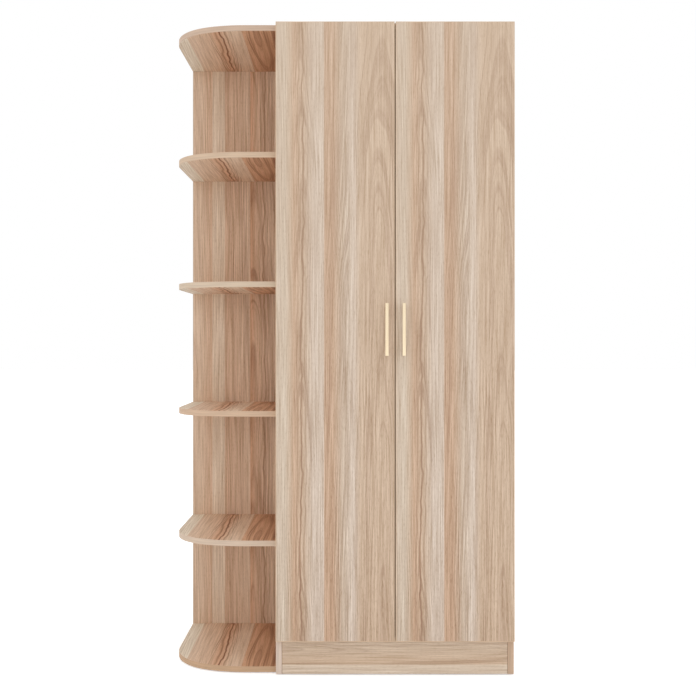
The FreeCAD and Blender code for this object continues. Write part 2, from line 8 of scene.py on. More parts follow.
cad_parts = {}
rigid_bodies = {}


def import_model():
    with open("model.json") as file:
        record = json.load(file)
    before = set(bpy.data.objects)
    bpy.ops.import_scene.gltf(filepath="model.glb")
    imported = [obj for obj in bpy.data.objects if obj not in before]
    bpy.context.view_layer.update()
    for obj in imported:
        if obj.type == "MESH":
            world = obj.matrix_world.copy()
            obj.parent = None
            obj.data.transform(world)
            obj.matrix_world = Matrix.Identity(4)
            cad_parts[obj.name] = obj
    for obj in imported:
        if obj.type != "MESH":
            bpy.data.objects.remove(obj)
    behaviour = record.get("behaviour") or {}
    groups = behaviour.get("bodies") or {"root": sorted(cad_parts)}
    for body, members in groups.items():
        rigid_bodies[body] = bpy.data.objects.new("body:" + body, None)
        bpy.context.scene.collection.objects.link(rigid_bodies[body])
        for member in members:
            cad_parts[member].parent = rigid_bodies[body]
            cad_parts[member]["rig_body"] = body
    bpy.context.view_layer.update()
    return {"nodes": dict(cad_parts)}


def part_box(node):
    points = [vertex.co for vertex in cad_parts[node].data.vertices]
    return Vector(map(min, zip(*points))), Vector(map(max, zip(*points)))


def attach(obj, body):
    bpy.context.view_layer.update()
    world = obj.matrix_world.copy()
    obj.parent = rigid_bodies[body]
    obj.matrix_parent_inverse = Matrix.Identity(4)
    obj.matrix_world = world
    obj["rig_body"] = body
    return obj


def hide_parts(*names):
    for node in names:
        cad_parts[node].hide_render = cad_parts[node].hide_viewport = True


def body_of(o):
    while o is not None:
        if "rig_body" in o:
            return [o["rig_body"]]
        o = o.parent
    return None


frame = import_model()

# Side panels: two upright particle boards with printed oak laminate on both faces and a
# band of the same print ironed on round the edges. They carry every other board.


def colour(hex_code):
    """Linear colour of an sRGB hex value."""
    channels = [int(hex_code[place:place + 2], 16) / 255 for place in (1, 3, 5)]
    linear = [part / 12.92 if part <= 0.04045 else ((part + 0.055) / 1.055) ** 2.4 for part in channels]
    return (*linear, 1.0)


def add_node(tree, kind, inputs=None, **settings):
    """Adds a node, sets its options, and fills its inputs or links them to other nodes."""
    node = tree.nodes.new(kind)
    for option, value in settings.items():
        setattr(node, option, value)
    for socket, value in (inputs or {}).items():
        if isinstance(value, bpy.types.Node):
            value = next(output for output in value.outputs if output.enabled)
        if isinstance(value, bpy.types.NodeSocket):
            tree.links.new(value, node.inputs[socket])
        else:
            node.inputs[socket].default_value = value
    return node


def new_material(name):
    """Material with a plain surface shader, its node tree and that shader."""
    material = bpy.data.materials.new(name)
    material.use_nodes = True
    return material, material.node_tree, material.node_tree.nodes["Principled BSDF"]


def dress(material, *names):
    """Gives nodes of the frame their material."""
    for name in names:
        for slot in frame["nodes"][name].material_slots:
            slot.material = material


def fill_ramp(ramp, stops, width):
    """Colour stops of a ramp, at distances across a board of that width."""
    while len(ramp.elements) < len(stops):
        ramp.elements.new(1.0)
    for element, (distance, tone) in zip(ramp.elements, stops):
        element.position = distance / width
        element.color = tone


oak_cream = colour("#decbb4")
oak_blush = colour("#decab6")
oak_beige = colour("#d9c3ab")
oak_tan = colour("#d5b99d")
oak_brown = colour("#d2ae8f")
oak_band = colour("#d5bfa6")
# the dark lines are a glaze: this is what they leave of the tone beneath
oak_vein = colour("#a47e61")


def oak_planks(tree, share, planks, width):
    """Plank by plank: where the heart of its tree lies, its number, and how strong its lines are."""
    # a ramp holds nothing below zero, and a heart may lie outside the board
    heart_shift = 1.0
    cut = add_node(tree, "ShaderNodeValToRGB", {0: share})
    cut.color_ramp.interpolation = "CONSTANT"
    cuts = []
    for number, (begin, heart, vein) in enumerate(planks):
        cuts.append((begin, (heart + heart_shift, number, vein, 1)))
    fill_ramp(cut.color_ramp, cuts, width)
    shifted, number, vein = add_node(tree, "ShaderNodeSeparateXYZ", {0: cut}).outputs
    heart = add_node(tree, "ShaderNodeMath", {0: shifted, 1: heart_shift}, operation="SUBTRACT")
    return heart, number, vein


def oak_rings(tree, from_heart, along, number, bend, ring_width):
    """Dark lines of growth rings, cut lengthways, about a heart that leans away along the board."""
    ring_length = 1.600
    heart_lean = 0.040
    heart_depth = 0.014
    # each plank reads the noise in another place, this far from the last plank's
    plank_step = 3.7
    noise_middle = 0.5
    line_reach = 0.068
    depth = add_node(
        tree, "ShaderNodeMath", {0: along, 1: heart_lean, 2: heart_depth}, operation="MULTIPLY_ADD"
    )
    to_heart = add_node(tree, "ShaderNodeCombineXYZ", {0: from_heart, 1: depth})
    radius = add_node(tree, "ShaderNodeVectorMath", {0: to_heart}, operation="LENGTH").outputs["Value"]
    bent = add_node(tree, "ShaderNodeMath", {0: radius, 1: bend}, operation="ADD")
    ring_place = add_node(tree, "ShaderNodeCombineXYZ", {0: bent, 1: number, 2: along})
    ring_scaled = add_node(
        tree,
        "ShaderNodeVectorMath",
        {0: ring_place, 1: (1 / ring_width, plank_step, 1 / ring_length)},
        operation="MULTIPLY",
    )
    rings = add_node(
        tree, "ShaderNodeTexNoise", {"Vector": ring_scaled, "Scale": 1.0, "Detail": 3.0, "Roughness": 0.6}
    )
    ring_side = add_node(tree, "ShaderNodeMath", {0: rings, 1: noise_middle}, operation="SUBTRACT")
    ring_gap = add_node(tree, "ShaderNodeMath", {0: ring_side}, operation="ABSOLUTE")
    return add_node(
        tree,
        "ShaderNodeMapRange",
        {"Value": ring_gap, "From Max": line_reach, "To Min": 1.0, "To Max": 0.0},
    )


def oak_clouds(tree, grain_place):
    """Broad clouds, where the rings show more or less."""
    cloud_width = 0.040
    cloud_length = 0.500
    plank_step = 5.7
    least_showing = 0.45
    cloud_place = add_node(
        tree,
        "ShaderNodeVectorMath",
        {0: grain_place, 1: (1 / cloud_width, plank_step, 1 / cloud_length)},
        operation="MULTIPLY",
    )
    cloud = add_node(
        tree, "ShaderNodeTexNoise", {"Vector": cloud_place, "Scale": 1.0, "Detail": 2.0, "Roughness": 0.55}
    )
    return add_node(
        tree,
        "ShaderNodeMapRange",
        {"Value": cloud, "From Min": 0.30, "From Max": 0.70, "To Min": least_showing, "To Max": 1.0},
    )


def oak_flame(tree, across, from_corner, bend, bend_reach, flame):
    """A dark flame: a few close lines that bend with the grain and ripple along the board."""
    ripple_size = 0.110
    ripple_reach = 0.026
    line_gap = 0.014
    flame_half = 0.026
    ripple_place = add_node(
        tree, "ShaderNodeVectorMath", {0: from_corner, 1: [1 / ripple_size] * 3}, operation="MULTIPLY"
    )
    ripple = add_node(
        tree, "ShaderNodeTexNoise", {"Vector": ripple_place, "Scale": 1.0, "Detail": 2.0, "Roughness": 0.6}
    )
    # bend and ripple both push one way, on average by half their reach
    start = flame + (bend_reach + ripple_reach) / 2
    from_flame = add_node(tree, "ShaderNodeMath", {0: across, 1: start}, operation="SUBTRACT")
    bending = add_node(tree, "ShaderNodeMath", {0: from_flame, 1: bend}, operation="ADD")
    rippling = add_node(
        tree, "ShaderNodeMath", {0: ripple, 1: ripple_reach, 2: bending}, operation="MULTIPLY_ADD"
    )
    turn = add_node(tree, "ShaderNodeMath", {0: rippling, 1: math.tau / line_gap}, operation="MULTIPLY")
    wave = add_node(tree, "ShaderNodeMath", {0: turn}, operation="COSINE")
    line = add_node(tree, "ShaderNodeMapRange", {"Value": wave, "From Min": -0.2, "To Max": 1.2})
    distance = add_node(tree, "ShaderNodeMath", {0: rippling}, operation="ABSOLUTE")
    showing = add_node(
        tree,
        "ShaderNodeMapRange",
        {"Value": distance, "From Max": flame_half, "To Min": 1.0, "To Max": 0.0},
    )
    return add_node(tree, "ShaderNodeMath", {0: line, 1: showing}, operation="MULTIPLY")


def oak_fibres(tree, across, along, number, bend, fibre_width, depth):
    """Fine fibres that bend with the grain: their noise, the open pores, and the tint of both."""
    # fibres and pores too are read in another place from plank to plank
    fibre_length = 0.200
    fibre_step = 3.1
    pore_width = 0.0009
    pore_length = 0.014
    pore_step = 3.9
    pore_shade = 0.25
    # dark fibres are redder than pale ones, so they take more out of green and blue
    fibre_hue = (1.0, 1.3, 1.68)
    darkest = -0.44 * depth
    palest = 0.22 * depth
    dark_fibre = (*(math.exp(darkest * part) for part in fibre_hue), 1.0)
    pale_fibre = (*(math.exp(palest * part) for part in fibre_hue), 1.0)
    bent = add_node(tree, "ShaderNodeMath", {0: across, 1: bend}, operation="ADD")
    bent_place = add_node(tree, "ShaderNodeCombineXYZ", {0: bent, 1: number, 2: along})
    fibre_place = add_node(
        tree,
        "ShaderNodeVectorMath",
        {0: bent_place, 1: (1 / fibre_width, fibre_step, 1 / fibre_length)},
        operation="MULTIPLY",
    )
    fibre = add_node(
        tree, "ShaderNodeTexNoise", {"Vector": fibre_place, "Scale": 1.0, "Detail": 5.0, "Roughness": 0.7}
    )
    pale_share = add_node(tree, "ShaderNodeMapRange", {"Value": fibre, "From Min": 0.25, "From Max": 0.75})
    pore_place = add_node(
        tree,
        "ShaderNodeVectorMath",
        {0: bent_place, 1: (1 / pore_width, pore_step, 1 / pore_length)},
        operation="MULTIPLY",
    )
    pores = add_node(tree, "ShaderNodeTexNoise", {"Vector": pore_place, "Scale": 1.0, "Detail": 1.0})
    open_pore = add_node(tree, "ShaderNodeMapRange", {"Value": pores, "From Min": 0.56, "From Max": 0.68})
    pored_share = add_node(
        tree, "ShaderNodeMath", {0: open_pore, 1: -pore_shade, 2: pale_share}, operation="MULTIPLY_ADD"
    )
    tint = add_node(
        tree, "ShaderNodeMix", {"Factor": pored_share, "A": dark_fibre, "B": pale_fibre}, data_type="RGBA"
    )
    return fibre, open_pore, tint


def edge_band(tree, from_corner, through, rim):
    """Print of the edge band: fine lines that run round the board, lighter and darker than the rim."""
    band_line = 0.0025
    band_length = 0.120
    paler = 1.08
    darker = 0.84
    band_pale = (*(paler * part for part in rim[:3]), 1.0)
    band_dark = (*(darker * part for part in rim[:3]), 1.0)
    band_scale = [1 / band_length] * 3
    band_scale["XYZ".index(through)] = 1 / band_line
    band_place = add_node(
        tree, "ShaderNodeVectorMath", {0: from_corner, 1: band_scale}, operation="MULTIPLY"
    )
    band_lines = add_node(tree, "ShaderNodeTexNoise", {"Vector": band_place, "Scale": 1.0, "Detail": 2.0})
    band_share = add_node(
        tree, "ShaderNodeMapRange", {"Value": band_lines, "From Min": 0.3, "From Max": 0.7}
    )
    return add_node(
        tree, "ShaderNodeMix", {"Factor": band_share, "A": band_pale, "B": band_dark}, data_type="RGBA"
    )


def oak_laminate(
    board,
    across,
    along,
    tones,
    planks,
    flame,
    ring_width=0.009,
    depth=1.0,
    sway=1.0,
    fade=0.0,
    edging=(0.002, 0.002),
    rim=oak_band,
):
    """Oak print on a board: planks, growth rings, a flame and fine fibres, with a band round the edges.

    Across and along are the frame's axes over the planks and along the grain. Tones gives the
    print's colour at distances in metres from the board's low edge. Planks gives, from the same
    edge, where each plank begins, where the heart of its tree lies and how strongly its dark lines
    show. Flame is where a dark flame runs, ring width how coarse the print is, depth how deep the
    fibres are printed, sway how much the grain bends and fade how much paler the print gets along
    the board. Edging is how much of the band is seen from the face, at the edges beside the grain and at
    its ends, and rim is the band's colour.
    """
    low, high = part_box(board)
    through = next(axis for axis in "XYZ" if axis not in (across, along))
    sides = dict(zip("XYZ", high - low))
    material, tree, surface = new_material("oak_print_" + board)
    coordinates = add_node(tree, "ShaderNodeTexCoord").outputs
    from_corner = add_node(
        tree, "ShaderNodeVectorMath", {0: coordinates["Object"], 1: low}, operation="SUBTRACT"
    )
    place = add_node(tree, "ShaderNodeSeparateXYZ", {0: from_corner}).outputs
    share = add_node(tree, "ShaderNodeMath", {0: place[across], 1: sides[across]}, operation="DIVIDE")
    heart, number, vein = oak_planks(tree, share, planks, sides[across])

    # the grain wanders: it bends sideways, by another course in each plank
    bend_width = 0.120
    bend_length = 0.600 / sway
    bend_reach = 0.036 * sway
    plank_step = 7.3
    grain_place = add_node(tree, "ShaderNodeCombineXYZ", {0: place[across], 1: number, 2: place[along]})
    bend_place = add_node(
        tree,
        "ShaderNodeVectorMath",
        {0: grain_place, 1: (1 / bend_width, plank_step, 1 / bend_length)},
        operation="MULTIPLY",
    )
    wander = add_node(
        tree, "ShaderNodeTexNoise", {"Vector": bend_place, "Scale": 1.0, "Detail": 1.5, "Roughness": 0.5}
    )
    bend = add_node(tree, "ShaderNodeMath", {0: wander, 1: bend_reach}, operation="MULTIPLY")

    # dark lines: rings under their clouds or the flame, whichever is darker
    from_heart = add_node(tree, "ShaderNodeMath", {0: place[across], 1: heart}, operation="SUBTRACT")
    ring_lines = oak_rings(tree, from_heart, place[along], number, bend, ring_width)
    clouds = oak_clouds(tree, grain_place)
    flame_lines = oak_flame(tree, place[across], from_corner, bend, bend_reach, flame)
    clouded_rings = add_node(tree, "ShaderNodeMath", {0: ring_lines, 1: clouds}, operation="MULTIPLY")
    lines = add_node(tree, "ShaderNodeMath", {0: clouded_rings, 1: flame_lines}, operation="MAXIMUM")
    vein_share = add_node(tree, "ShaderNodeMath", {0: lines, 1: vein}, operation="MULTIPLY")

    # tone, dark lines and fibres one over the other, all weaker where the print fades
    # a fibre's width, as a share of a ring's
    fibre_to_ring = 0.34
    fibre, open_pore, fibre_tint = oak_fibres(
        tree, place[across], place[along], number, bend, fibre_to_ring * ring_width, depth
    )
    tone = add_node(tree, "ShaderNodeValToRGB", {0: share})
    fill_ramp(tone.color_ramp, tones, sides[across])
    strength = add_node(
        tree,
        "ShaderNodeMapRange",
        {"Value": place[along], "From Max": sides[along], "To Min": 1.0, "To Max": 1 - fade},
    )
    faded_tone = add_node(
        tree, "ShaderNodeMix", {"Factor": strength, "A": oak_beige, "B": tone}, data_type="RGBA"
    )
    faded_vein = add_node(tree, "ShaderNodeMath", {0: vein_share, 1: strength}, operation="MULTIPLY")
    veined = add_node(
        tree,
        "ShaderNodeMix",
        {"Factor": faded_vein, "A": faded_tone, "B": oak_vein},
        data_type="RGBA",
        blend_type="MULTIPLY",
    )
    printed = add_node(
        tree,
        "ShaderNodeMix",
        {"Factor": strength, "A": veined, "B": fibre_tint},
        data_type="RGBA",
        blend_type="MULTIPLY",
    )

    # the band covers the edges, and a thin rim of it is seen from the face
    facing = add_node(tree, "ShaderNodeSeparateXYZ", {0: coordinates["Normal"]}).outputs
    flat = add_node(tree, "ShaderNodeMath", {0: facing[through]}, operation="ABSOLUTE")
    on_face = add_node(tree, "ShaderNodeMapRange", {"Value": flat, "From Min": 0.60, "From Max": 0.80})
    for axis, rim_width in zip((across, along), edging):
        half = sides[axis] / 2
        from_middle = add_node(tree, "ShaderNodeMath", {0: place[axis], 1: half}, operation="SUBTRACT")
        reach = add_node(tree, "ShaderNodeMath", {0: from_middle}, operation="ABSOLUTE")
        inside = add_node(tree, "ShaderNodeMath", {0: reach, 1: half - rim_width}, operation="LESS_THAN")
        on_face = add_node(tree, "ShaderNodeMath", {0: on_face, 1: inside}, operation="MULTIPLY")
    band = edge_band(tree, from_corner, through, rim)
    whole = add_node(
        tree, "ShaderNodeMix", {"Factor": on_face, "A": band, "B": printed}, data_type="RGBA"
    )
    tree.links.new(whole.outputs["Result"], surface.inputs["Base Color"])

    # melamine with pressed pores: a matt sheen, a little duller in the dark fibres
    sheen = add_node(
        tree,
        "ShaderNodeMapRange",
        {"Value": fibre, "From Min": 0.25, "From Max": 0.75, "To Min": 0.74, "To Max": 0.62},
    )
    tree.links.new(sheen.outputs[0], surface.inputs["Roughness"])
    dent = add_node(
        tree,
        "ShaderNodeBump",
        {"Strength": 0.2, "Distance": 0.0002, "Height": open_pore},
        invert=True,
    )
    tree.links.new(dent.outputs[0], surface.inputs["Normal"])
    surface.inputs["IOR"].default_value = 1.5
    dress(material, board)
    return tree, surface, whole


for board, heart, rim in (
    ("left_side_panel", 0.06, colour("#e0ccbc")),
    ("right_side_panel", 0.40, colour("#ccaf95")),
):
    depth_tones = [
        (0.0, oak_cream),
        (0.110, oak_beige),
        (0.113, oak_tan),
        (0.205, oak_beige),
        (0.290, oak_blush),
        (0.293, oak_brown),
        (0.385, oak_beige),
        (0.500, oak_cream),
    ]
    depth_planks = [
        (0.0, heart, 0.4),
        (0.113, 0.18, 0.5),
        (0.205, heart + 0.2, 0.3),
        (0.293, 0.27, 0.6),
        (0.385, 0.45, 0.4),
    ]
    oak_laminate(board, "Y", "Z", depth_tones, depth_planks, flame=0.335, rim=rim)

# Boards between the sides: top and bottom panels and two fixed shelves, cut from the same
# laminated board with the grain from side to side, and held by cams and glued dowels.
for board, heart in (
    ("top_panel", 0.10),
    ("bottom_panel", 0.16),
    ("hat_shelf", 0.22),
    ("shoe_shelf", 0.30),
):
    deep_tones = [
        (0.0, oak_beige),
        (0.090, oak_tan),
        (0.183, oak_blush),
        (0.186, oak_brown),
        (0.279, oak_beige),
        (0.372, oak_cream),
        (0.476, oak_tan),
    ]
    deep_planks = [
        (0.0, heart, 0.4),
        (0.093, heart + 0.03, 0.5),
        (0.186, 0.25, 0.6),
        (0.279, heart + 0.1, 0.3),
        (0.372, 0.40, 0.5),
    ]
    oak_laminate(board, "Y", "X", deep_tones, deep_planks, flame=heart + 0.05)

# Kick board and rear plinth rail: strips of laminated board under the bottom panel, grain lengthways, the
# print paler along the foot. Their upper edge is painted paler too, painted light against the shade under
# the doors, and a thin brown line of painted shade is drawn at each end, where they meet the side panels.
kick_pale_print_and_light = colour("#e4d1bb")
# painted shade of the joints, seen from the face as a thin brown rim at each end of the boards
painted_joint_shade = colour("#94735a")
for board, heart in (("kick_board", 0.075), ("rear_plinth_rail", 0.050)):
    kick_tones = [
        (0.0, kick_pale_print_and_light),
        (0.028, kick_pale_print_and_light),
        (0.030, oak_tan),
        (0.080, oak_beige),
        # painted light: paler at the upper edge, against the shade under the doors
        (0.097, kick_pale_print_and_light),
    ]
    kick_planks = [(0.0, -0.05, 0.3), (0.029, heart, 0.4)]
    oak_laminate(
        board,
        "Z",
        "X",
        kick_tones,
        kick_planks,
        flame=heart + 0.03,
        depth=0.85,
        edging=(0.0, 0.0015),
        rim=painted_joint_shade,
    )

# Dowels: straight beech pins, turned and sanded, glued across the butt joints and all lying
# along X. Their pale flecked wood shows only where a joint is opened.


def grained(name, light, dark, grain, rough, relief):
    """Material of two tones in a grain of the given size along X, Y and Z.

    Rough gives the roughness in the light and in the dark tone, and relief the grain's height.
    """
    material, tree, surface = new_material(name)
    coordinates = add_node(tree, "ShaderNodeTexCoord").outputs
    place = add_node(
        tree,
        "ShaderNodeVectorMath",
        {0: coordinates["Object"], 1: [1 / size for size in grain]},
        operation="MULTIPLY",
    )
    speck = add_node(
        tree, "ShaderNodeTexNoise", {"Vector": place, "Scale": 1.0, "Detail": 3.0, "Roughness": 0.6}
    )
    share = add_node(tree, "ShaderNodeMapRange", {"Value": speck, "From Min": 0.3, "From Max": 0.7})
    tone = add_node(
        tree, "ShaderNodeMix", {"Factor": share, "A": colour(light), "B": colour(dark)}, data_type="RGBA"
    )
    dull = add_node(tree, "ShaderNodeMapRange", {"Value": share, "To Min": rough[0], "To Max": rough[1]})
    bump = add_node(
        tree, "ShaderNodeBump", {"Strength": 0.3, "Distance": relief, "Height": speck.outputs[0]}
    )
    tree.links.new(tone.outputs["Result"], surface.inputs["Base Color"])
    tree.links.new(dull.outputs[0], surface.inputs["Roughness"])
    tree.links.new(bump.outputs[0], surface.inputs["Normal"])
    return material, surface


# pores of beech are far finer than this, so they are drawn as short flecks that can be seen
beech_fleck = (0.005, 0.0006, 0.0006)
beech, surface = grained("turned_beech", "#d8b78e", "#c29c70", beech_fleck, (0.55, 0.70), 0.0001)
surface.inputs["IOR"].default_value = 1.5
dress(beech, "wood_dowels")

# Cam locks and their bolts: cast zinc drums let into the undersides of the boards, each with a
# cross slot, that pull the heads of zinc-plated steel bolts standing in the side panels.

# die casting leaves a dull grey skin with a fine sandy grain
cast_grain = (0.0012, 0.0012, 0.0012)
cast_zinc, surface = grained("die_cast_zinc", "#b3b5b6", "#96999b", cast_grain, (0.38, 0.52), 0.00005)
surface.inputs["Metallic"].default_value = 1.0
dress(cast_zinc, "cam_locks")

# a barrel-plated skin is bright, a little blue, and clouded where the pieces rubbed together
plating_cloud = (0.004, 0.004, 0.004)
zinc_steel, surface = grained(
    "zinc_plated_steel", "#ccd0d3", "#b3b1a8", plating_cloud, (0.26, 0.40), 0.00003
)
surface.inputs["Metallic"].default_value = 1.0
dress(zinc_steel, "cam_bolts")

# Back sheets: two thin fibreboards that slide into grooves of the side panels. Oak paper is glued
# on the inside; the rear is left raw and brown, as it comes from the press.
sheet_tones = [
    (0.0, oak_cream),
    (0.118, oak_beige),
    (0.120, oak_blush),
    (0.238, oak_beige),
    (0.240, oak_tan),
    (0.353, oak_cream),
]
raw_light = colour("#ad835a")
raw_dark = colour("#8b6440")
raw_cloud = 0.025
for board, heart in (("back_sheet_left", 0.09), ("back_sheet_right", 0.28)):
    sheet_planks = [(0.0, heart, 0.4), (0.119, 0.30, 0.3), (0.239, heart, 0.4)]
    tree, surface, printed = oak_laminate(
        board, "X", "Z", sheet_tones, sheet_planks, flame=heart, edging=(0.0, 0.0), rim=raw_light
    )
    coordinates = add_node(tree, "ShaderNodeTexCoord").outputs
    chip_place = add_node(
        tree,
        "ShaderNodeVectorMath",
        {0: coordinates["Object"], 1: [1 / raw_cloud] * 3},
        operation="MULTIPLY",
    )
    chips = add_node(
        tree, "ShaderNodeTexNoise", {"Vector": chip_place, "Scale": 1.0, "Detail": 7.0, "Roughness": 0.8}
    )
    chip_share = add_node(tree, "ShaderNodeMapRange", {"Value": chips, "From Min": 0.35, "From Max": 0.65})
    raw = add_node(
        tree, "ShaderNodeMix", {"Factor": chip_share, "A": raw_light, "B": raw_dark}, data_type="RGBA"
    )
    facing = add_node(tree, "ShaderNodeSeparateXYZ", {0: coordinates["Normal"]}).outputs
    rear = add_node(tree, "ShaderNodeMapRange", {"Value": facing["Y"], "From Min": 0.5, "From Max": 0.7})
    sheet = add_node(tree, "ShaderNodeMix", {"Factor": rear, "A": printed, "B": raw}, data_type="RGBA")
    tree.links.new(sheet.outputs["Result"], surface.inputs["Base Color"])

# Strip between the back sheets: a white plastic H-section, extruded, with faint lines along its
# length from the die. The sheets push into it from both sides.
die_line = (0.0015, 0.0015, 0.400)
white_plastic, surface = grained(
    "extruded_white_pvc", "#edebe5", "#e1ded6", die_line, (0.32, 0.42), 0.00003
)
surface.inputs["IOR"].default_value = 1.53
dress(white_plastic, "back_joint_strip")

# Screws of the back sheets: zinc-plated steel, upset heads with a cross recess and rolled, pointed
# shanks, driven through the sheets into the rear edges of the top and bottom panels.

# points closer than this are one point
weld_distance = 0.000001


def solids_of(node):
    """Points of each separate solid of a node, in a steady order."""
    shape = bmesh.new()
    shape.from_mesh(frame["nodes"][node].data)
    bmesh.ops.remove_doubles(shape, verts=shape.verts, dist=weld_distance)
    waiting = dict.fromkeys(shape.verts)
    solids = []
    while waiting:
        reached = [waiting.popitem()[0]]
        points = []
        while reached:
            corner = reached.pop()
            points.append(corner.co.copy())
            for edge in corner.link_edges:
                other = edge.other_vert(corner)
                if other in waiting:
                    del waiting[other]
                    reached.append(other)
        solids.append(points)
    shape.free()
    return solids


def turned(outline, steps):
    """Shape turned about the upright axis from an outline of radii and heights."""
    shape = bmesh.new()
    corners = [shape.verts.new((radius, 0, height)) for radius, height in outline]
    edges = [shape.edges.new(pair) for pair in zip(corners, corners[1:])]
    bmesh.ops.spin(
        shape,
        geom=corners + edges,
        cent=(0, 0, 0),
        axis=(0, 0, 1),
        angle=math.tau,
        steps=steps,
        use_merge=True,
    )
    bmesh.ops.remove_doubles(shape, verts=shape.verts, dist=weld_distance)
    return shape


def gather(group, shape, place, upward):
    """Adds a shape to a group, with its origin at a place and its top turned to a direction."""
    bmesh.ops.recalc_face_normals(shape, faces=shape.faces)
    turn = Vector((0, 0, 1)).rotation_difference(upward).to_matrix().to_4x4()
    bmesh.ops.transform(shape, matrix=Matrix.Translation(place) @ turn, verts=shape.verts)
    mesh = bpy.data.meshes.new("gathered")
    shape.to_mesh(mesh)
    shape.free()
    group.from_mesh(mesh)
    bpy.data.meshes.remove(mesh)


# faces that meet at more than this meet in an edge
crease_angle = math.radians(35)


def stand_in(node, kind, shape, material):
    """Makes a shape the piece that stands for a node, riding where the node does."""
    mesh = bpy.data.meshes.new(kind + "_" + node)
    shape.to_mesh(mesh)
    shape.free()
    mesh.shade_smooth()
    mesh.set_sharp_from_angle(angle=crease_angle)
    mesh.materials.append(material)
    piece = bpy.data.objects.new(mesh.name, mesh)
    bpy.context.scene.collection.objects.link(piece)
    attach(piece, body_of(frame["nodes"][node])[0])
    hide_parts(node)


def screw_steps(points):
    """Where a plain screw's head is, which way the head faces, and its steps from there.

    Each step is a distance from the top of the head and the radius there.
    """
    decimals = 5
    spans = []
    for axis in range(3):
        reach = [point[axis] for point in points]
        spans.append(max(reach) - min(reach))
    axis = spans.index(max(spans))
    centre = sum(points, Vector()) / len(points)
    ends = []
    for sign in (1, -1):
        facing = Vector()
        facing[axis] = sign
        head = centre.copy()
        head[axis] = sign * max(sign * point[axis] for point in points)
        steps = set()
        for point in points:
            spoke = point - centre
            spoke[axis] = 0
            distance = abs(point[axis] - head[axis])
            steps.add((round(distance, decimals), round(spoke.length, decimals)))
        ends.append((head, facing, sorted(steps, key=lambda step: (step[0], -step[1]))))
    return max(ends, key=lambda end: end[2][0][1])


def cross_recess(shape, arm, half_width, depth):
    """Closes the open top of a turned screw with a cross recess for a driver."""
    taper = 0.55
    rim = [edge for edge in shape.edges if edge.is_boundary]
    quarter = [(arm, half_width), (half_width, half_width), (half_width, arm)]
    corners = []
    for turn in range(4):
        turned_quarter = Matrix.Rotation(turn * math.pi / 2, 3, "Z")
        corners += [shape.verts.new(turned_quarter @ Vector((x, y, 0))) for x, y in quarter]
    cross = [shape.edges.new(pair) for pair in zip(corners, corners[1:] + corners[:1])]
    bmesh.ops.triangle_fill(shape, use_beauty=True, edges=rim + cross, normal=(0, 0, 1))
    walls = bmesh.ops.extrude_edge_only(shape, edges=cross)["geom"]
    foot = [part for part in walls if isinstance(part, bmesh.types.BMVert)]
    foot_edges = [
        part for part in walls if isinstance(part, bmesh.types.BMEdge) and set(part.verts) <= set(foot)
    ]
    bmesh.ops.scale(shape, vec=(taper, taper, 1), verts=foot)
    bmesh.ops.translate(shape, vec=(0, 0, -depth), verts=foot)
    bmesh.ops.triangle_fill(shape, use_beauty=True, edges=foot_edges, normal=(0, 0, 1))


def cross_head_screws(node, material):
    """Stands for a node of plain screws: heads with a cross recess, domed or sunk, and pointed tips.

    The head's shapes are shares of its radius and height, the point's length one of the shank's radius.
    """
    sides = 16
    dome = [(0.58, 0.0), (0.80, 0.12), (0.94, 0.36), (1.0, 0.68)]
    sunk_flat = 0.70
    point_length = 3
    recess_arm = 0.50
    recess_half_width = 0.13
    recess_depth = 0.6
    group = bmesh.new()
    for points in solids_of(node):
        head, facing, steps = screw_steps(points)
        head_radius = steps[0][1]
        head_height, under_radius = steps[1]
        if under_radius == head_radius:
            outline = [(head_radius * across, -head_height * down) for across, down in dome]
        else:
            outline = [(head_radius * sunk_flat, 0), (head_radius, 0)]
        outline += [(radius, -distance) for distance, radius in steps[1:-1]]
        length, shank_radius = steps[-1]
        outline += [(shank_radius, point_length * shank_radius - length), (0, -length)]
        shape = turned(outline, sides)
        cross_recess(
            shape, recess_arm * head_radius, recess_half_width * head_radius, recess_depth * head_height
        )
        gather(group, shape, head, facing)
    stand_in(node, "cross_head", group, material)


cross_head_screws("back_sheet_screws", zinc_steel)

# Hanging rail: oval steel tube, chrome plated, pushed into two cast zinc sockets that are screwed
# to the side panels under the hat shelf.

# drawing the tube leaves hair lines along it, which the plating nearly fills
draw_line = (0.300, 0.0015, 0.0015)
chrome_tube, surface = grained("chrome_plated_tube", "#dfe1e3", "#ced1d4", draw_line, (0.07, 0.14), 0.00001)
surface.inputs["Metallic"].default_value = 1.0
dress(chrome_tube, "hanging_rail")


def softened(node, kind, edge_radius, material):
    """Stands for a node with the same solids, their outer edges rounded as tool and mould leave them."""
    flat_angle = math.radians(0.5)
    shape = bmesh.new()
    shape.from_mesh(frame["nodes"][node].data)
    bmesh.ops.remove_doubles(shape, verts=shape.verts, dist=weld_distance)
    bmesh.ops.dissolve_limit(shape, angle_limit=flat_angle, verts=shape.verts, edges=shape.edges)
    sharp = [
        edge
        for edge in shape.edges
        if len(edge.link_faces) == 2 and edge.is_convex and edge.calc_face_angle() > crease_angle
    ]
    bmesh.ops.bevel(
        shape,
        geom=sharp,
        offset=edge_radius,
        affect="EDGES",
        segments=2,
        profile=0.5,
        material=-1,
        clamp_overlap=False,
    )
    stand_in(node, kind, shape, material)


cast_edge = 0.0004
softened("rail_sockets", "cast", cast_edge, cast_zinc)
cross_head_screws("rail_socket_screws", zinc_steel)

# Anti-tip brackets: folded steel angles, zinc plated, screwed under the top panel, with a free
# hole for a screw into the wall.
folded_edge = 0.0004
softened("anti_tip_brackets", "folded", folded_edge, zinc_steel)
cross_head_screws("anti_tip_screws", zinc_steel)

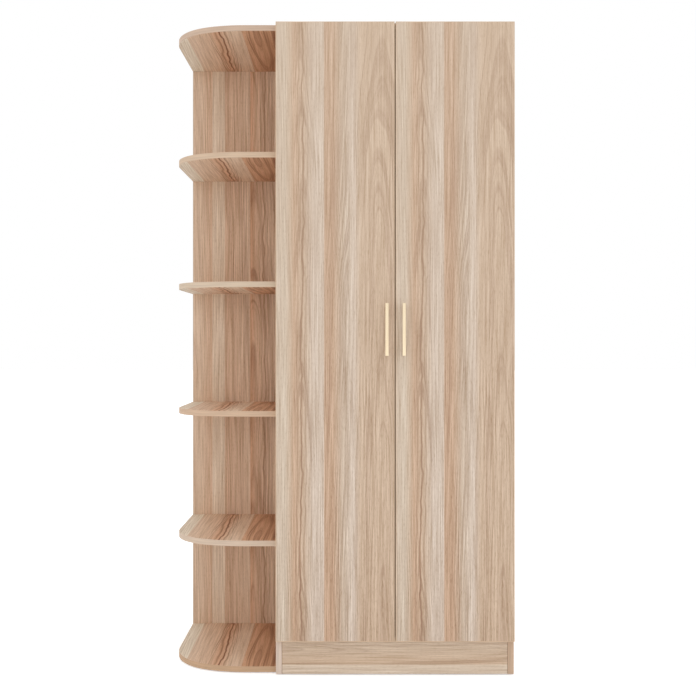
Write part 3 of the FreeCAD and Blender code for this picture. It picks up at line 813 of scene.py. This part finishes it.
# Floor glides: grey polyethylene discs moulded round a nail and knocked into the feet, flat below
# and rounded at the rim, with the faint orange-peel skin of a moulding.
mould_skin = (0.0015, 0.0015, 0.0015)
grey_plastic, surface = grained(
    "moulded_grey_polyethylene", "#9b9d9f", "#8a8c8e", mould_skin, (0.42, 0.55), 0.0001
)
surface.inputs["IOR"].default_value = 1.51
glide_rim = [(0.86, 0.0), (0.96, 0.12), (1.0, 0.35), (1.0, 0.85), (0.96, 1.0)]
glide_sides = 32
nail_radius = 0.0012
nail_point = 3 * nail_radius
disc_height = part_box("left_side_panel")[0].z
nail_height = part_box("floor_glides")[1].z
glides = bmesh.new()
for points in solids_of("floor_glides"):
    centre = sum(points, Vector()) / len(points)
    disc_radius = max(point.x for point in points) - centre.x
    outline = [(0, 0)] + [(disc_radius * across, disc_height * up) for across, up in glide_rim]
    outline += [(nail_radius, disc_height), (nail_radius, nail_height - nail_point), (0, nail_height)]
    gather(glides, turned(outline, glide_sides), (centre.x, centre.y, 0), Vector((0, 0, 1)))
stand_in("floor_glides", "moulded", glides, grey_plastic)

# Corner back board: a full-height board against the wall that closes the open shelves,
# screwed to the side panel through its edge. The print stands upright as on the doors.
# Painted light: the print of the open shelves and their back board is written lighter and warmer than the
# doors', for the light that bounces round inside the shelves; the grain and planks are print.
lit_bay_pale = colour("#ecdcc4")
lit_bay_cream = colour("#ebd4ba")
lit_bay_beige = colour("#e6c9ad")
lit_bay_tan = colour("#e1be9f")
lit_bay_heart = colour("#deaf8b")
lit_bay_brown = colour("#c4936f")
back_tones = [
    (0.0, lit_bay_beige),
    (0.030, lit_bay_beige),
    (0.068, lit_bay_tan),
    (0.070, lit_bay_cream),
    (0.112, lit_bay_cream),
    (0.115, lit_bay_tan),
    (0.203, lit_bay_beige),
    (0.205, lit_bay_heart),
    (0.225, lit_bay_tan),
    (0.275, lit_bay_beige),
    # painted light: paler towards the side panel, against the shade beside it
    (0.330, lit_bay_cream),
]
back_planks = [(0.0, -0.03, 0.3), (0.069, 0.20, 0.25), (0.114, 0.02, 0.45), (0.204, 0.215, 0.55)]
oak_laminate("corner_back_board", "X", "Z", back_tones, back_planks, flame=0.255, ring_width=0.012)

# Corner shelves: six boards cut to one large rounded corner, the grain from front to back and
# a pale band bent round the curved edge. Screws through the back board and dowels hold them.
# the same lighter, warmer tones as the back board: painted light
shelf_tones = [
    (0.0, lit_bay_pale),
    (0.042, lit_bay_pale),
    (0.044, lit_bay_beige),
    (0.115, lit_bay_tan),
    (0.140, lit_bay_heart),
    (0.168, lit_bay_tan),
    (0.182, lit_bay_beige),
    (0.221, lit_bay_beige),
    (0.223, lit_bay_heart),
    (0.330, lit_bay_brown),
]
shelf_planks = [
    (0.0, -0.02, 0.2),
    (0.043, 0.30, 0.2),
    (0.115, 0.148, 0.95),
    (0.180, 0.02, 0.2),
    (0.222, 0.27, 0.85),
]
for board, rim in (
    ("corner_base_shelf", colour("#cba887")),
    ("corner_shelf_1", colour("#d9c2ac")),
    ("corner_shelf_2", colour("#d5b69a")),
    ("corner_shelf_3", colour("#d8c3ab")),
    ("corner_shelf_4", colour("#d7bca1")),
    ("corner_top_shelf", colour("#d0b59f")),
):
    oak_laminate(
        board,
        "X",
        "Y",
        shelf_tones,
        shelf_planks,
        flame=0.150,
        ring_width=0.013,
        depth=0.95,
        sway=1.2,
        edging=(0.0, 0.0),
        rim=rim,
    )

# Connecting screws of the corner unit: long zinc-plated screws with sunk heads, through the back
# board into the shelves, and through the side panel into the back board.
for node in ("corner_back_screws", "corner_side_screws"):
    cross_head_screws(node, zinc_steel)

# Doors: two full-height boards with the same sheet of print on each, planks upright, and a thin
# band round their edges. Cup hinges are let into the back, and a handle is screwed on in front.
door_tones = [
    (0.0, oak_beige),
    (0.028, oak_cream),
    (0.046, oak_tan),
    (0.056, oak_brown),
    (0.085, oak_tan),
    (0.115, oak_blush),
    (0.147, oak_blush),
    (0.149, oak_brown),
    (0.175, oak_brown),
    (0.205, oak_beige),
    (0.238, oak_blush),
    (0.260, oak_tan),
    (0.300, oak_tan),
    (0.363, oak_tan),
]
door_planks = [
    (0.0, -0.06, 0.25),
    (0.055, 0.080, 0.60),
    (0.112, -0.10, 0.20),
    (0.148, 0.245, 0.55),
    (0.222, 0.40, 0.30),
    (0.245, 0.326, 0.48),
]
door_band = colour("#dcc0a2")
for board in ("left_door", "right_door"):
    oak_laminate(
        board, "X", "Z", door_tones, door_planks, flame=0.078, depth=1.3, fade=0.4, rim=door_band
    )

# Cup hinges: steel pressings plated with nickel, four to a door. The cup is let into the door, the
# plate and the cranked arm are screwed to the side panel, and two links on pins join them.

# nickel is bright with a warm cast, and pressing draws its skin into short faint lines
press_line = (0.004, 0.004, 0.0008)
nickel_steel, surface = grained(
    "nickel_plated_steel", "#d3ccbf", "#c6bfb2", press_line, (0.20, 0.30), 0.00002
)
surface.inputs["Metallic"].default_value = 1.0
# how far the edges of each pressing are rounded
pressed_edges = {
    "hinge_cups": 0.0003,
    "hinge_plates": 0.0005,
    "hinge_arms": 0.0008,
    "inner_links": 0.0004,
    "outer_links": 0.0004,
}
# the pins are ground before plating, so they are smoother and ringed
ground_ring = (0.010, 0.010, 0.0004)
ground_pin, surface = grained("ground_nickel_pin", "#d9d5cd", "#c8c3b9", ground_ring, (0.12, 0.20), 0.00001)
surface.inputs["Metallic"].default_value = 1.0
for side in ("left_", "right_"):
    for pressing, edge_radius in pressed_edges.items():
        softened(side + pressing, "pressed", edge_radius, nickel_steel)
    dress(ground_pin, side + "cup_pins", side + "arm_pins")
    for screws in ("cup_screws", "hinge_plate_screws", "hinge_arm_screws"):
        cross_head_screws(side + screws, nickel_steel)

# Handles: plain rectangular bars of brass on two posts each, brushed along their length and
# lacquered in pale champagne, held by screws from inside the door.

# real brush lines are a tenth of a millimetre, so they are drawn coarser to show
brush_line = (0.0008, 0.0008, 0.060)
champagne_brass, surface = grained(
    "brushed_champagne_brass", "#e9d9bd", "#decaa9", brush_line, (0.26, 0.40), 0.00004
)
surface.inputs["Metallic"].default_value = 1.0
bar_edge = 0.0006
for side in ("left_", "right_"):
    softened(side + "handle", "brushed", bar_edge, champagne_brass)
    cross_head_screws(side + "handle_screws", zinc_steel)

# Door bumpers: clear soft domes stuck inside the meeting edges of the doors, so that they close
# on the top and bottom panels without a knock. Moulded, so smooth with a faint haze.
haze = (0.002, 0.002, 0.002)
clear_rubber, surface = grained("clear_moulded_rubber", "#f4f5f3", "#e9ebe8", haze, (0.10, 0.22), 0.00002)
surface.inputs["Transmission Weight"].default_value = 0.9
surface.inputs["IOR"].default_value = 1.5
bumper_sides = 32
dome = [(1.0, 0.0), (1.0, 0.2), (0.92, 0.55), (0.72, 0.83), (0.40, 0.97), (0.0, 1.0)]
for node in ("left_door_bumpers", "right_door_bumpers"):
    low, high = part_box(node)
    bumper_radius = (high.x - low.x) / 2
    bumper_height = high.y - low.y
    bumpers = bmesh.new()
    for points in solids_of(node):
        centre = sum(points, Vector()) / len(points)
        outline = [(0, 0)] + [(bumper_radius * across, bumper_height * up) for across, up in dome]
        gather(bumpers, turned(outline, bumper_sides), (centre.x, low.y, centre.z), Vector((0, 1, 0)))
    stand_in(node, "domed", bumpers, clear_rubber)

# Stage: a plain white floor in a white studio that lights the wardrobe evenly from all round, and
# one broad soft lamp in front.
bpy.ops.mesh.primitive_plane_add(size=60)
floor = bpy.context.object
floor.name = "studio_floor"
material, tree, surface = new_material("white_studio_floor")
ray = add_node(tree, "ShaderNodeLightPath").outputs
mirrored = add_node(
    tree, "ShaderNodeMath", {0: ray["Is Glossy Ray"], 1: ray["Is Transmission Ray"]}, operation="MAXIMUM"
)
seen = add_node(tree, "ShaderNodeMath", {0: ray["Is Camera Ray"], 1: mirrored}, operation="MAXIMUM")
# in this light the floor is a little grey, so where it is seen or mirrored it glows this much
floor_glow = 0.45
glow = add_node(tree, "ShaderNodeMath", {0: seen, 1: floor_glow}, operation="MULTIPLY")
surface.inputs["Base Color"].default_value = colour("#f2f2f2")
surface.inputs["Roughness"].default_value = 0.9
surface.inputs["Emission Color"].default_value = colour("#ffffff")
tree.links.new(glow.outputs[0], surface.inputs["Emission Strength"])
floor.data.materials.append(material)

world = bpy.data.worlds.new("white_studio")
bpy.context.scene.world = world
world.use_nodes = True
tree = world.node_tree
tree.nodes["Background"].inputs["Color"].default_value = colour("#ffffff")
tree.nodes["Background"].inputs["Strength"].default_value = 1.0

lamp_place = Vector((0.8, -5.0, 1.3))
lamp_aim = Vector((0.0, 0.0, 1.0))
lamp_data = bpy.data.lights.new("front_lamp", "AREA")
lamp_data.size = 3.5
lamp_data.energy = 8
lamp = bpy.data.objects.new("front_lamp", lamp_data)
bpy.context.scene.collection.objects.link(lamp)
lamp.location = lamp_place
lamp.rotation_euler = (lamp_aim - lamp_place).to_track_quat("-Z", "Y").to_euler()

# Camera: level, a little left of the cabinet's middle and at half its height, as the picture
# was taken. The picture's middle sits just below the eye level.
camera_data = bpy.data.cameras.new("camera")
camera = bpy.data.objects.new("camera", camera_data)
bpy.context.scene.collection.objects.link(camera)
bpy.context.scene.camera = camera
camera.location = (0.0213, -3.253, 1.028)
camera.rotation_euler = (math.pi / 2, 0, 0)
camera_data.sensor_width = 36.0
camera_data.lens = 51.05
camera_data.shift_y = -0.0115
bpy.context.scene.view_settings.view_transform = "Standard"
